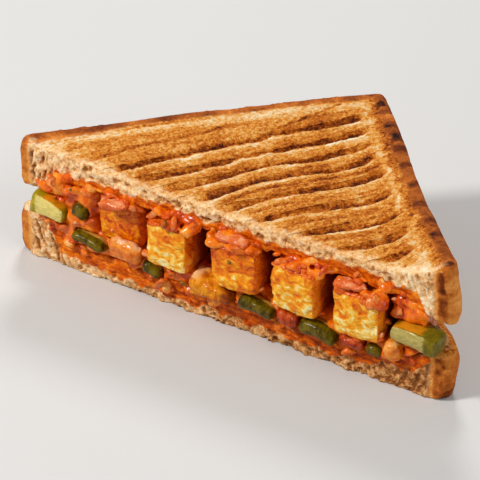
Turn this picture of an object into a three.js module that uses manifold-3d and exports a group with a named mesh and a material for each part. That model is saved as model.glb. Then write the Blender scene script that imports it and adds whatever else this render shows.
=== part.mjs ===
// Half of a grilled sandwich: two slices of toasted white bread around spiced paneer cubes,
// pepper, tomato and onion in a thick sauce, cut from corner to corner.
// Millimetres, +Z up. The cut face looks towards -Y, the bread's square corner points to +Y.
import * as THREE from 'three';
import { mergeVertices } from 'three/addons/utils/BufferGeometryUtils.js';
import Module from 'manifold-3d';

const wasm = await Module();
wasm.setup();

// ---------------------------------------------------------------- driving dimensions

// The whole slice of bread, before it was cut.
const LONG_SIDE = 117.8;         // from the square corner to the left end of the cut
const SHORT_SIDE = 105.4;        // from the square corner to the right end
const PLAN_CORNER = 4;           // radius of the slice's corners, seen from above
const EDGE_ROUND = 2.6;          // radius between the crust side and the toasted face
const CUT_PAST_DIAGONAL = 3.5;   // the knife ran this far outside the diagonal

// Heights over the table.
const CRUST_TOP = { left: 42.8, apex: 47.2, right: 46.5 };
const CRUST_DIP = 2.2;           // the short side's crust is lower between its ends
const TOAST_MIDDLE = 39.3;       // the toasted face sags between its crusts
const TOAST_RISE = 0.045;        // and climbs a little from the cut to the square corner
const LEFT_CRUST_SLOPE = 38;     // how far in the face falls from the long side's crust
const RIGHT_CRUST_SLOPE = 15;    // and from the short side's crust
const TOP_SLICE_UNDER = { crust: 25.5, middle: 32 };
const BOTTOM_SLICE_OVER = { crust: 15.5, middle: 8.8 };

// Grooves that the hot ridged plates pressed into the bread.
const GROOVE_SKEW = THREE.MathUtils.degToRad(8.6);   // off the long side's direction
const FIRST_GROOVE = 11;                             // from the long side, at the apex
const GROOVE_STEPS = [7.2, 7.2, 7.7, 8.4, 10.5, 11.6, 11.5, 9.1];
const GROOVE_HALF_WIDTH = 2.3;
const GROOVE_DEPTH = 1.4;
const GROOVE_STOP = { from: 6, full: 13 };           // they fade out before the short side
const COLUMN_STEP = 5.4;

// The filling.
const CLEARANCE = 0.3;          // between the sauce and the pieces in it
const BREAD_CLEARANCE = 1.0;    // between the sauce and the slices
const FILLING_INSET = 5.5;       // the filling stays this far inside the crust sides
const FILLING_HALF_LENGTH = 69.5;
const SAUCE_FRONT = -4.6;        // the heap of sauce bulges this far out of the cut
const HOLLOW_BACK = 5;           // and is this far back in the hollows between the cubes
const HOLLOW_FLOOR = { from: 15, full: 18.5 };
const HOLLOW_ENDS = { left: -47, right: 60 };

// ---------------------------------------------------------------- colours

const TOAST = 0xc98a45;
const CRUMB = 0xd9b98c;
const SAUCE = 0xd9591a;
const PANEER = 0xe39a35;
const GREEN = 0x7d8226;
const YELLOW = 0xdb9526;
const RED = 0xc4461f;
const ONION = 0xe39468;

// ---------------------------------------------------------------- the plan of the slice

const DIAGONAL = Math.hypot(LONG_SIDE, SHORT_SIDE);
const LEFT_ANGLE = Math.atan2(SHORT_SIDE, LONG_SIDE);
const leftCorner = new THREE.Vector2(-DIAGONAL / 2, 0);
const rightCorner = new THREE.Vector2(DIAGONAL / 2, 0);
const alongLong = new THREE.Vector2(-Math.cos(LEFT_ANGLE), -Math.sin(LEFT_ANGLE));
const alongShort = new THREE.Vector2(Math.sin(LEFT_ANGLE), -Math.cos(LEFT_ANGLE));
const apex = leftCorner.clone().addScaledVector(alongLong, -LONG_SIDE);

// A place on the slice, given from the square corner along both crusts.
function onSlice(along, across) {
  return apex.clone().addScaledVector(alongLong, along).addScaledVector(alongShort, across);
}

function fromLongCrust(x, y) {
  return (x - apex.x) * alongShort.x + (y - apex.y) * alongShort.y;
}

function fromShortCrust(x, y) {
  return (x - apex.x) * alongLong.x + (y - apex.y) * alongLong.y;
}

// ---------------------------------------------------------------- small helpers

const smooth = (value, low, high) => THREE.MathUtils.smoothstep(value, low, high);
const mix = THREE.MathUtils.lerp;

// An even waviness between -1 and 1, which gives food its unevenness.
function lumps(x, y, z, size, seed = 0) {
  const k = (2 * Math.PI) / size;
  return (Math.sin(k * x + 1.7 * Math.sin(0.61 * k * z + seed) + seed)
    + Math.sin(0.87 * k * y + 1.3 * Math.sin(0.53 * k * x + 2 * seed))
    + Math.sin(0.93 * k * z + 1.5 * Math.sin(0.71 * k * y + 3 * seed))) / 3;
}

// Moves a point that lies within reach of two faces onto a quarter circle.
function roundedPair(fromFirst, fromSecond, radius) {
  if (fromFirst >= radius || fromSecond >= radius) return [fromFirst, fromSecond];
  const a = radius - fromFirst;
  const b = radius - fromSecond;
  const pull = Math.max(a, b) / Math.hypot(a, b);
  return [radius - a * pull, radius - b * pull];
}

// A closed box of unit cells, each of whose grid points is placed by a function.
function mouldedBox(columns, rows, levels, place) {
  const box = new THREE.BoxGeometry(1, 1, 1, columns, rows, levels);
  box.deleteAttribute('normal');
  box.deleteAttribute('uv');
  const geometry = mergeVertices(box, 1e-5);
  const points = geometry.attributes.position;
  for (let n = 0; n < points.count; n += 1) {
    const i = Math.round((points.getX(n) + 0.5) * columns);
    const j = Math.round((points.getY(n) + 0.5) * rows);
    const k = Math.round((points.getZ(n) + 0.5) * levels);
    const p = place(i, j, k);
    points.setXYZ(n, p.x, p.y, p.z);
  }
  geometry.computeVertexNormals();
  return geometry;
}

function toSolid(geometry, matrix = new THREE.Matrix4()) {
  const placed = geometry.clone().applyMatrix4(matrix);
  return new wasm.Manifold(new wasm.Mesh({
    numProp: 3,
    vertProperties: new Float32Array(placed.attributes.position.array),
    triVerts: new Uint32Array(placed.index.array),
  }));
}

function toGeometry(solid) {
  const mesh = solid.getMesh();
  const geometry = new THREE.BufferGeometry();
  geometry.setAttribute('position', new THREE.BufferAttribute(mesh.vertProperties, 3));
  geometry.setIndex(new THREE.BufferAttribute(mesh.triVerts, 1));
  geometry.computeVertexNormals();
  return geometry;
}

function largestPiece(solid) {
  return solid.decompose().sort((a, b) => b.volume() - a.volume())[0];
}

function named(name, geometry, color, roughness) {
  const material = new THREE.MeshStandardMaterial({ color, roughness, metalness: 0 });
  const mesh = new THREE.Mesh(geometry, material);
  mesh.name = name;
  return mesh;
}

// ---------------------------------------------------------------- surfaces of the bread

function crustTop(x, y) {
  const along = (x - leftCorner.x) / DIAGONAL;
  const level = mix(CRUST_TOP.left, CRUST_TOP.right, along);
  const atApex = (apex.x - leftCorner.x) / DIAGONAL;
  const lift = CRUST_TOP.apex - mix(CRUST_TOP.left, CRUST_TOP.right, atApex);
  const alongShortSide = THREE.MathUtils.clamp(fromLongCrust(x, y) / SHORT_SIDE, 0, 1);
  const dip = CRUST_DIP * 4 * alongShortSide * (1 - alongShortSide);
  return level + lift * (y / apex.y) - dip;
}

// The toasted face without its grooves.
function toastFace(x, y) {
  const sag = TOAST_MIDDLE + TOAST_RISE * (y + CUT_PAST_DIAGONAL);
  const left = 1 - smooth(fromLongCrust(x, y), 3, 3 + LEFT_CRUST_SLOPE);
  const right = 1 - smooth(fromShortCrust(x, y), 3, 3 + RIGHT_CRUST_SLOPE);
  const crust = 1 - (1 - left) * (1 - right);
  return mix(sag, crustTop(x, y), crust) + 0.35 * lumps(x, y, 0, 31, 2);
}

function fromCrust(x, y) {
  return Math.min(fromLongCrust(x, y), fromShortCrust(x, y));
}

function topSliceUnder(x, y) {
  const t = smooth(fromCrust(x, y), 2.5, 15.5);
  return mix(TOP_SLICE_UNDER.crust, TOP_SLICE_UNDER.middle, t) + 0.2 * lumps(x, y, 0, 17, 1);
}

function bottomSliceOver(x, y) {
  const t = smooth(fromCrust(x, y), 4, 22);
  return mix(BOTTOM_SLICE_OVER.crust, BOTTOM_SLICE_OVER.middle, t) - 0.2 * lumps(x, y, 0, 19, 4);
}

// ---------------------------------------------------------------- the grid of a slice

const RIM_STEPS = [0, 0.9, 2.2, 4];
const FAN_ROWS = [5, 6, 7.2];

// Distances from one crust at which the grid has a line: close at both rims.
function stations(length, inner) {
  const far = RIM_STEPS.map((step) => length - step).reverse();
  return [...RIM_STEPS, ...inner, ...far];
}

function evenSteps(length, step) {
  const first = RIM_STEPS.at(-1);
  const span = length - 2 * first;
  const count = Math.round(span / step);
  return Array.from({ length: count - 1 }, (_, n) => first + (span * (n + 1)) / count);
}

const grooveCentres = GROOVE_STEPS.reduce((list, step) => [...list, list.at(-1) + step], [FIRST_GROOVE]);

function grooveRows(withCrests) {
  const rows = [...FAN_ROWS];
  grooveCentres.forEach((centre, n) => {
    rows.push(centre - GROOVE_HALF_WIDTH, centre, centre + GROOVE_HALF_WIDTH);
    if (withCrests && n < GROOVE_STEPS.length) rows.push(centre + GROOVE_STEPS[n] / 2);
  });
  const last = grooveCentres.at(-1);
  rows.push(last + GROOVE_STEPS.at(-1) / 2, last + GROOVE_STEPS.at(-1));
  return rows;
}

// Rows follow the crusts at both sides and the grooves in between.
function rowPlace(row, along) {
  const turned = smooth(row, RIM_STEPS.at(-1), FIRST_GROOVE - GROOVE_HALF_WIDTH)
    * (1 - smooth(row, 88, SHORT_SIDE));
  return row + turned * Math.tan(GROOVE_SKEW) * along;
}

function grooveDepth(row, along) {
  const nearest = Math.min(...grooveCentres.map((centre) => Math.abs(row - centre)));
  const shape = 1 - smooth(nearest, 0, GROOVE_HALF_WIDTH);
  return GROOVE_DEPTH * shape * smooth(along, GROOVE_STOP.from, GROOVE_STOP.full);
}

// A whole slice between two faces, with rounded corners and edges.
function wholeSlice(columns, rows, levels, lowerFace, upperFace) {
  return mouldedBox(columns.length - 1, rows.length - 1, levels, (i, j, k) => {
    const along = columns[i];
    const row = rows[j];
    const across = rowPlace(row, along);
    const sideAlong = Math.min(along, LONG_SIDE - along);
    const sideAcross = Math.min(row, SHORT_SIDE - row);
    const middle = onSlice(along, across);
    const low = lowerFace(middle.x, middle.y, row, along);
    const high = upperFace(middle.x, middle.y, row, along);
    const height = mix(low, high, k / levels);
    const fromFace = Math.min(height - low, high - height);

    const [alongIn, faceA] = roundedPair(sideAlong, fromFace, EDGE_ROUND);
    const [acrossIn, faceB] = roundedPair(sideAcross, fromFace, EDGE_ROUND);
    const [planAlong, planAcross] = roundedPair(alongIn, acrossIn, PLAN_CORNER);
    const towards = height - low < high - height ? 1 : -1;
    const z = height + towards * (Math.max(faceA, faceB) - fromFace);

    const shiftAlong = (planAlong - sideAlong) * (along < LONG_SIDE / 2 ? 1 : -1);
    const shiftAcross = (planAcross - sideAcross) * (row < SHORT_SIDE / 2 ? 1 : -1);
    const place = onSlice(along + shiftAlong, across + shiftAcross);
    return new THREE.Vector3(place.x, place.y, z);
  });
}

// What the knife left of a slice.
function cutInHalf(geometry) {
  const reach = 2 * DIAGONAL;
  const away = new THREE.BoxGeometry(reach, reach, reach);
  away.deleteAttribute('normal');
  away.deleteAttribute('uv');
  away.translate(0, -CUT_PAST_DIAGONAL - reach / 2, 0);
  return toGeometry(toSolid(geometry).subtract(toSolid(mergeVertices(away))));
}

function topSlice() {
  const columns = stations(LONG_SIDE, evenSteps(LONG_SIDE, COLUMN_STEP));
  const rows = stations(SHORT_SIDE, grooveRows(true));
  const toasted = (x, y, row, along) => toastFace(x, y) - grooveDepth(row, along);
  return cutInHalf(wholeSlice(columns, rows, 5, topSliceUnder, toasted));
}

// The bottom slice stands on the flat crests between its grooves.
function bottomSlice() {
  const columns = stations(LONG_SIDE, evenSteps(LONG_SIDE, COLUMN_STEP));
  const rows = stations(SHORT_SIDE, grooveRows(false));
  const toasted = (x, y, row, along) => grooveDepth(row, along);
  return cutInHalf(wholeSlice(columns, rows, 4, toasted, bottomSliceOver));
}

// ---------------------------------------------------------------- pieces of the filling

// size: width, depth, height; at: centre; tilt: degrees about X, Y, Z; bend: how far the
// ends drop below the middle; taper: how much narrower the right end is.
const cubes = [
  { size: [15.8, 11.6, 14.2], at: [-38.5, 1.9, 22.6], tilt: [0, -3, 2] },
  { size: [15.4, 15, 15.8], at: [-18.1, -0.5, 22.9], tilt: [0, 0.5, -1] },
  { size: [16.2, 15, 15.0], at: [5.8, -0.4, 23.5], tilt: [0, -2, 3] },
  { size: [15.4, 15, 15.8], at: [27.2, -0.6, 23.3], tilt: [1, -1, -2] },
  { size: [15.9, 14.4, 15.6], at: [48.3, -0.9, 22.1], tilt: [0, -2, 1] },
];

const peppers = [
  { size: [13.2, 8.0, 7.0], at: [-64.5, -3.8, 21.6], tilt: [0, 12, 4], bend: 0.8, taper: 0.25 },
  { size: [5.6, 4.5, 5.2], at: [-52.6, -4.6, 23.4], tilt: [0, 20, 0], bend: 0.3, taper: 0.2 },
  { size: [12.8, 6.0, 3.4], at: [-49.0, -4.8, 14.3], tilt: [0, 9, 0], bend: 0.6, taper: 0.1 },
  { size: [6.8, 4.6, 4.0], at: [-25.0, -4.8, 11.6], tilt: [0, 12, 0], bend: 0.4, taper: 0.1 },
  { size: [12.2, 6.5, 4.5], at: [14.0, -5.0, 12.4], tilt: [0, 8, 0], bend: 0.9, taper: 0.1 },
  { size: [12.8, 6.5, 4.4], at: [35.2, -5.0, 11.9], tilt: [0, 7, 0], bend: 1.1, taper: 0.15 },
  { size: [5.8, 4.2, 3.4], at: [54.2, -5.0, 11.2], tilt: [0, 8, 0], bend: 0.3, taper: 0.1 },
  { size: [15.6, 8.6, 6.0], at: [67.4, -4.2, 21.2], tilt: [0, 3, -4], bend: 0.7, taper: -0.1 },
];

const softPieces = [
  { name: 'yellow_pepper_1', color: YELLOW, size: [15.4, 9.4, 7.0], at: [-2.4, -4.2, 12.7], tilt: [0, 5, 0], taper: 0.28 },
  { name: 'onion_1', color: ONION, size: [12.2, 4.6, 7.0], at: [-34.0, -6.3, 15.9], tilt: [0, 8, 0] },
  { name: 'tomato_1', color: RED, size: [7.6, 6, 5.4], at: [24.5, -5.2, 12.0], tilt: [0, 10, 0] },
  { name: 'tomato_2', color: RED, size: [8.6, 5, 4.4], at: [46.4, -5.2, 11.8], tilt: [0, 6, 0] },
  { name: 'onion_2', color: ONION, size: [6.0, 6, 6.6], at: [60.4, -5.8, 14.3], tilt: [0, -10, 0] },
  { name: 'onion_3', color: ONION, size: [10.5, 5, 2.4], at: [-38.2, -6.2, 31.3], tilt: [4, -4, 3] },
  { name: 'onion_4', color: ONION, size: [11.5, 4.4, 2.5], at: [5.0, -6.2, 33.1], tilt: [4, -4, -3] },
  { name: 'onion_5', color: ONION, size: [10.0, 4.6, 2.4], at: [45.2, -6.0, 31.4], tilt: [4, -3, 4] },
];

// A chunk with rounded edges, a little uneven, and bent or tapered where it is a strip.
function chunk({ size, bend = 0, taper = 0, radius, uneven, cells, seed }, grow = 0) {
  const half = size.map((s) => s / 2 + grow);
  const round = Math.min(radius + grow, ...half);
  return mouldedBox(...cells, (i, j, k) => {
    const corner = new THREE.Vector3(
      mix(-half[0], half[0], i / cells[0]),
      mix(-half[1], half[1], j / cells[1]),
      mix(-half[2], half[2], k / cells[2]),
    );
    const inner = new THREE.Vector3(
      THREE.MathUtils.clamp(corner.x, round - half[0], half[0] - round),
      THREE.MathUtils.clamp(corner.y, round - half[1], half[1] - round),
      THREE.MathUtils.clamp(corner.z, round - half[2], half[2] - round),
    );
    const out = corner.sub(inner);
    const longest = Math.max(Math.abs(out.x), Math.abs(out.y), Math.abs(out.z));
    if (longest > 0) out.multiplyScalar(longest / out.length());
    const p = inner.add(out);
    const swell = 1 + uneven * lumps(p.x, p.y, p.z, size[0] * 0.8, seed);
    p.multiplyScalar(swell);
    const along = p.x / half[0];
    p.z = p.z * (1 - taper * along) - bend * along * along;
    return p;
  });
}

function chunkMesh(name, piece, color, roughness) {
  const mesh = named(name, chunk(piece), color, roughness);
  mesh.position.set(...piece.at);
  mesh.rotation.set(...piece.tilt.map(THREE.MathUtils.degToRad));
  mesh.updateMatrix();
  return mesh;
}

const cubeShape = { radius: 1.8, uneven: 0.022, cells: [5, 5, 5] };
const stripShape = { radius: 1.7, uneven: 0.04, cells: [6, 3, 2] };
const softShape = { radius: 2.6, uneven: 0.07, cells: [4, 3, 3] };

const pieces = [
  ...cubes.map((cube, n) => ({
    ...cubeShape, ...cube, seed: n + 1, name: `paneer_${n + 1}`, color: PANEER, roughness: 0.55,
  })),
  ...peppers.map((strip, n) => ({
    ...stripShape, ...strip, seed: n + 2, name: `pepper_${n + 1}`, color: GREEN, roughness: 0.35,
  })),
  ...softPieces.map((soft, n) => ({
    ...softShape, ...soft, seed: n + 3, roughness: 0.35,
  })),
];

// ---------------------------------------------------------------- the sauce

// The line behind which the filling lies, and the crust lines moved in by the inset.
function fillingBack(x, inset) {
  const fromLeft = Math.tan(LEFT_ANGLE) * (x - leftCorner.x) - inset / Math.cos(LEFT_ANGLE);
  const fromRight = (rightCorner.x - x) / Math.tan(LEFT_ANGLE) - inset / Math.sin(LEFT_ANGLE);
  const blend = 4;
  const gap = Math.abs(fromLeft - fromRight);
  const rounding = gap < blend ? (blend - gap) ** 2 / (4 * blend) : 0;
  return Math.min(fromLeft, fromRight) - rounding;
}

// The heap's front: full low down and at both ends, hollow between and behind the cubes.
function fillingFront(x, z) {
  const between = smooth(x, HOLLOW_ENDS.left - 3, HOLLOW_ENDS.left + 3)
    * (1 - smooth(x, HOLLOW_ENDS.right - 3, HOLLOW_ENDS.right + 3));
  const hollow = between * smooth(z, HOLLOW_FLOOR.from, HOLLOW_FLOOR.full);
  const heap = SAUCE_FRONT + 1.1 * lumps(x, 0, z, 9.5, 5);
  return mix(heap, HOLLOW_BACK, hollow);
}

// How far row j lies from the heap's front (0) to its back (1): the last rows lie closer together.
function rowShare(j, rows) {
  const first = smooth(0, -0.4, 1);
  return (smooth(j / rows, -0.4, 1) - first) / (1 - first);
}

function sauce(meshes) {
  const columns = 54;
  const rows = 7;
  const levels = 5;
  const heap = mouldedBox(columns, rows, levels, (i, j, k) => {
    const x = mix(-FILLING_HALF_LENGTH, FILLING_HALF_LENGTH, i / columns);
    const middleZ = mix(BOTTOM_SLICE_OVER.middle, TOP_SLICE_UNDER.middle, k / levels);
    const back = fillingBack(x, FILLING_INSET + 0.8 * lumps(x, 3, 2 * middleZ, 11, 7));
    const front = Math.min(fillingFront(x, middleZ), back - 1.6);
    const y = mix(front, back, rowShare(j, rows));
    const floor = bottomSliceOver(x, Math.max(y, -CUT_PAST_DIAGONAL)) + BREAD_CLEARANCE;
    const ceiling = topSliceUnder(x, Math.max(y, -CUT_PAST_DIAGONAL)) - BREAD_CLEARANCE;
    return new THREE.Vector3(x, y, mix(floor, ceiling, k / levels));
  });
  let solid = toSolid(heap);
  pieces.forEach((piece, n) => {
    solid = solid.subtract(toSolid(chunk(piece, CLEARANCE), meshes[n].matrix));
  });
  return toGeometry(largestPiece(solid));
}

// ---------------------------------------------------------------- the sandwich

const sandwich = new THREE.Group();
sandwich.name = 'paneer_sandwich';

const pieceMeshes = pieces.map((piece) => chunkMesh(piece.name, piece, piece.color, piece.roughness));
sandwich.add(
  named('bread_bottom', bottomSlice(), CRUMB, 0.9),
  named('bread_top', topSlice(), TOAST, 0.85),
  named('masala', sauce(pieceMeshes), SAUCE, 0.35),
  ...pieceMeshes,
);

// The origin is under the middle of the sandwich, on the table.
sandwich.updateMatrixWorld(true);
const bounds = new THREE.Box3().setFromObject(sandwich, true);
const centre = bounds.getCenter(new THREE.Vector3());
sandwich.position.set(-centre.x, -centre.y, -bounds.min.z);
sandwich.updateMatrixWorld(true);

export default sandwich;
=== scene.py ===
"""Looks of a grilled sandwich half: toasted bread, paneer cubes, peppers, tomato and onion in sauce.

Lengths in the code are millimetres in the sandwich's own plan, where X runs along the cut,
the whole slice's diagonal lies on Y = 0, and Z is the height over the table.
"""

import itertools
import math

import bmesh
import bpy
import numpy as np
from mathutils.bvhtree import BVHTree
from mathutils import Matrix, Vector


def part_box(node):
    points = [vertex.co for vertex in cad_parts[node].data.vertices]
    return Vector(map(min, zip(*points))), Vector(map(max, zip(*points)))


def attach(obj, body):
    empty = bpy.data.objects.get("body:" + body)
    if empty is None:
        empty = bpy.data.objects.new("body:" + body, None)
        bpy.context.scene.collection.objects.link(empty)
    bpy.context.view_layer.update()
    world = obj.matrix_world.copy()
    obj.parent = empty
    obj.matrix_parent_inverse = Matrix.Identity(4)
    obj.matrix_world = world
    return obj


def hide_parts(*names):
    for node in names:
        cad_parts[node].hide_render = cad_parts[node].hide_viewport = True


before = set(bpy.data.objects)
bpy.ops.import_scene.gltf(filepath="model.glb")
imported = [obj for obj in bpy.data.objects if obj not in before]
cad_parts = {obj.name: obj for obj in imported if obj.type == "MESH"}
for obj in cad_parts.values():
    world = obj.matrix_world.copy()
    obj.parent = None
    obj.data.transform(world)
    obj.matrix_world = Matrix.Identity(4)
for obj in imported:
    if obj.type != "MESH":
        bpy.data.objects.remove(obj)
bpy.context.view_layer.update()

# ---------------------------------------------------------------- sizes

METRES = 0.001
LONG_SIDE = 117.8            # bread slice, from the square corner to the left end of the cut
SHORT_SIDE = 105.4           # from the square corner to the right end
CUT_Y = -3.5                 # the knife ran this far outside the diagonal
GROOVE_SKEW = math.tan(math.radians(8.6))
FIRST_GROOVE = 11.0
GROOVE_STEPS = (7.2, 7.2, 7.7, 8.4, 10.5, 11.6, 11.5, 9.1)
GROOVE_HALF_WIDTH = 2.3
GROOVE_DEPTH = 1.4
GROOVE_STOP = (6.0, 13.0)    # the grooves fade out before the short side
FAINT_GROOVE = 2.8           # a weak mark before the first groove
FAINT_LINE = 5.8             # a dark line beside the long side's crust
DARK_SCRATCH = ((-9.0, 43.0), (1.5, 65.0))   # plan of a thin dark mark by the long side
PALE_SCRATCH = ((42.0, 29.6), (46.9, 18.9))  # and of a pale one by the short side
SEEN_SHIFT = (0.0, 0.0, -0.3, -0.6, 0.6, 1.6, 2.0, 1.0, 0.0)  # uneven steps of the grooves
CRUST_THICKNESS = 2.0
FINE = 0.42                  # mesh grid of the slices and cubes
COARSE = 0.5                 # of the sauce
SMALL = 0.4                  # and of the smaller pieces
SMOOTHING = 2                # rounds that take the grid's steps off a remeshed piece
SAUCE_SMOOTHING = 4

DIAGONAL = math.hypot(LONG_SIDE, SHORT_SIDE)
LEFT_ANGLE = math.atan2(SHORT_SIDE, LONG_SIDE)
ALONG_LONG = np.array([-math.cos(LEFT_ANGLE), -math.sin(LEFT_ANGLE)])
ALONG_SHORT = np.array([math.sin(LEFT_ANGLE), -math.cos(LEFT_ANGLE)])
APEX = np.array([-DIAGONAL / 2, 0.0]) - ALONG_LONG * LONG_SIDE
GROOVES = FIRST_GROOVE + np.concatenate([[0.0], np.cumsum(GROOVE_STEPS)])
SEEN_GROOVES = GROOVES + np.array(SEEN_SHIFT)
RIDGE = ALONG_LONG + GROOVE_SKEW * ALONG_SHORT
RIDGE_ANGLE = math.atan2(RIDGE[1], RIDGE[0])

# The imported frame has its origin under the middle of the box, so the plan is moved by this much.
bread_low, bread_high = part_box("bread_bottom")
SHIFT = np.array([
    (bread_low.x + bread_high.x) / 2 / METRES,
    bread_low.y / METRES - CUT_Y,
    0.0,
])

# ---------------------------------------------------------------- random patterns in space


def chance(cells, seed):
    """One even random number between 0 and 1 for each whole-numbered cell."""
    x, y, z = (cells[:, n].astype(np.int64) for n in range(3))
    mixed = (x * 73856093) ^ (y * 19349663) ^ (z * 83492791) ^ (seed * 2654435761)
    mixed = ((mixed ^ (mixed >> 13)) * 1274126177) & 0xFFFFFFFF
    mixed ^= mixed >> 16
    return (mixed & 0xFFFFFF) / 0xFFFFFF


def smooth(value, low, high):
    """0 at low and 1 at high, whichever of them is the larger."""
    part = np.clip((value - low) / (high - low), 0, 1)
    return part * part * (3 - 2 * part)


def waves(points, size, seed):
    """Soft noise between -1 and 1 with features of one size."""
    scaled = points / size
    base = np.floor(scaled)
    part = scaled - base
    part = part * part * (3 - 2 * part)
    total = np.zeros(len(points))
    for corner in itertools.product((0, 1), repeat=3):
        near = np.array(corner)
        weight = np.prod(np.where(near, part, 1 - part), axis=1)
        total += weight * chance(base + near, seed)
    return 2 * total - 1


def rough(points, size, seed, octaves=3):
    """Noise with finer noise on it."""
    total = np.zeros(len(points))
    for level in range(octaves):
        total += waves(points, size / 2 ** level, seed + level) / 2 ** level
    return total / 1.6


def bubbles(points, size, seed, share=1.0):
    """Pits with thin walls between them: 0 on a wall, up to 1 in the middle of a pit."""
    scaled = points / np.asarray(size)
    base = np.floor(scaled)
    nearest = np.full(len(points), 9.0)
    second = np.full(len(points), 9.0)
    depth = np.zeros(len(points))
    for step in itertools.product((-1, 0, 1), repeat=3):
        cell = base + np.array(step)
        jitter = np.stack([chance(cell, seed + n) for n in (1, 2, 3)], axis=1)
        drawn = chance(cell, seed)
        distance = np.linalg.norm(scaled - cell - jitter, axis=1)
        closer = distance < nearest
        second = np.where(closer, nearest, np.minimum(second, distance))
        depth = np.where(closer, np.where(drawn < share, 0.4 + 0.6 * drawn / share, 0.0), depth)
        nearest = np.where(closer, distance, nearest)
    return depth * smooth(second - nearest, 0.04, 0.5)


# ---------------------------------------------------------------- meshes


def points_of(mesh):
    flat = np.zeros(len(mesh.vertices) * 3, np.float32)
    mesh.vertices.foreach_get("co", flat)
    return flat.reshape(-1, 3).astype(float) / METRES - SHIFT


def set_points(mesh, points):
    flat = ((points + SHIFT) * METRES).astype(np.float32).ravel()
    mesh.vertices.foreach_set("co", flat)
    mesh.update()


def normals_of(mesh):
    flat = np.zeros(len(mesh.vertices) * 3, np.float32)
    mesh.vertices.foreach_get("normal", flat)
    return flat.reshape(-1, 3).astype(float)


def smoothed(mesh, values, rounds):
    """Moves each value towards the mean of its neighbours, a few times over."""
    edges = np.zeros(len(mesh.edges) * 2, np.int32)
    mesh.edges.foreach_get("vertices", edges)
    first, second = edges.reshape(-1, 2).T
    count = np.bincount(np.concatenate([first, second]), minlength=len(values))[:, None]
    for _ in range(rounds):
        total = np.stack([
            np.bincount(first, values[second, n], len(values))
            + np.bincount(second, values[first, n], len(values))
            for n in range(values.shape[1])
        ], axis=1)
        values = 0.4 * values + 0.6 * total / np.maximum(count, 1)
    return values


def mark(mesh, name, values):
    layer = mesh.attributes.new(name, "FLOAT", "POINT")
    layer.data.foreach_set("value", np.asarray(values, np.float32))


def new_piece(name, mesh, material, slot, *nodes):
    piece = bpy.data.objects.new(name, mesh)
    bpy.context.scene.collection.objects.link(piece)
    mesh.materials.clear()
    mesh.materials.append(material)
    mesh.shade_smooth()
    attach(piece, "root")
    if nodes:
        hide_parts(*nodes)
    return piece


def node_mesh(node):
    """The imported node's own mesh, as points and triangles."""
    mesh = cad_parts[node].data.copy()
    work = bmesh.new()
    work.from_mesh(mesh)
    bmesh.ops.remove_doubles(work, verts=work.verts, dist=0.002 * METRES)
    bmesh.ops.triangulate(work, faces=work.faces)
    work.to_mesh(mesh)
    work.free()
    faces = np.zeros(len(mesh.polygons) * 3, np.int32)
    mesh.polygons.foreach_get("vertices", faces)
    return points_of(mesh), faces.reshape(-1, 3)


def joined(parts):
    """Several lots of points and triangles as one."""
    offsets = np.cumsum([0] + [len(points) for points, _ in parts])
    points = np.concatenate([points for points, _ in parts])
    faces = np.concatenate([faces + offset for (_, faces), offset in zip(parts, offsets)])
    return points, faces


def mesh_from(name, points, faces):
    mesh = bpy.data.meshes.new(name)
    mesh.from_pydata(((points + SHIFT) * METRES).tolist(), [], faces.tolist())
    mesh.update()
    return mesh


def remeshed(points, faces, grid, rounds):
    """Closed forms that may cross each other, as one skin on a fine even grid."""
    holder = bpy.data.objects.new("holder", mesh_from("holder", points, faces))
    bpy.context.scene.collection.objects.link(holder)
    remesh = holder.modifiers.new("even", "REMESH")
    remesh.mode = "VOXEL"
    remesh.voxel_size = grid * METRES
    shown = holder.evaluated_get(bpy.context.evaluated_depsgraph_get())
    fine = bpy.data.meshes.new_from_object(shown)
    bpy.data.objects.remove(holder)
    set_points(fine, smoothed(fine, points_of(fine), rounds))
    return fine


def refined(node, grid):
    return remeshed(*node_mesh(node), grid, SMOOTHING)


def ball():
    work = bmesh.new()
    bmesh.ops.create_icosphere(work, subdivisions=2, radius=1.0)
    points = np.array([v.co for v in work.verts])
    faces = np.array([[v.index for v in face.verts] for face in work.faces])
    work.free()
    return points, faces


def turned(points, degrees):
    """Points turned about X, then Y, then Z."""
    for axis, angle in enumerate(np.radians(degrees)):
        first, second = [(1, 2), (2, 0), (0, 1)][axis]
        a, b = points[:, first].copy(), points[:, second].copy()
        points = points.copy()
        points[:, first] = a * math.cos(angle) - b * math.sin(angle)
        points[:, second] = a * math.sin(angle) + b * math.cos(angle)
    return points


def lump(at, size, degrees, boxy, uneven, seed, curl=0.0):
    """A chopped bit of food: boxy from a ball to a dice, with flat sides, curled along its length."""
    points, faces = ball()
    cube = points / np.abs(points).max(1, keepdims=True)
    points = points + boxy * (0.8 * cube - points)
    points = points * (1 + uneven * waves(points + 7.3 * seed, 0.8, seed)[:, None])
    draw = np.random.default_rng(seed)
    for _ in range(5):
        side = draw.normal(size=3)
        side /= np.linalg.norm(side)
        over = np.maximum(points @ side - draw.uniform(0.35, 0.75), 0)
        points = points - 0.85 * over[:, None] * side
    points = points * np.asarray(size) / 2
    points[:, 2] -= curl * ((points[:, 0] / (size[0] / 2)) ** 2 - 0.4)
    return turned(points, degrees) + np.asarray(at), faces


def quads_of(mesh):
    """The faces of a remeshed piece, which all have four corners."""
    corners = np.zeros(len(mesh.loops), np.int32)
    mesh.loops.foreach_get("vertex_index", corners)
    return corners.reshape(-1, 4)


def surfaces(parts):
    """Several lots of points and faces, made ready to find the nearest place on them."""
    points, faces = joined(parts)
    return BVHTree.FromPolygons(points.tolist(), faces.tolist())


def touching(ground, at, size):
    """A place moved up to the nearest surface, so that a bit of this size is sunk in it a little."""
    at = np.asarray(at)
    near, _, _, gap = ground.find_nearest(at.tolist())
    reach = 0.25 * min(size)
    if gap <= reach:
        return at
    near = np.array(near)
    return near + (at - near) * reach / gap


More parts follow.
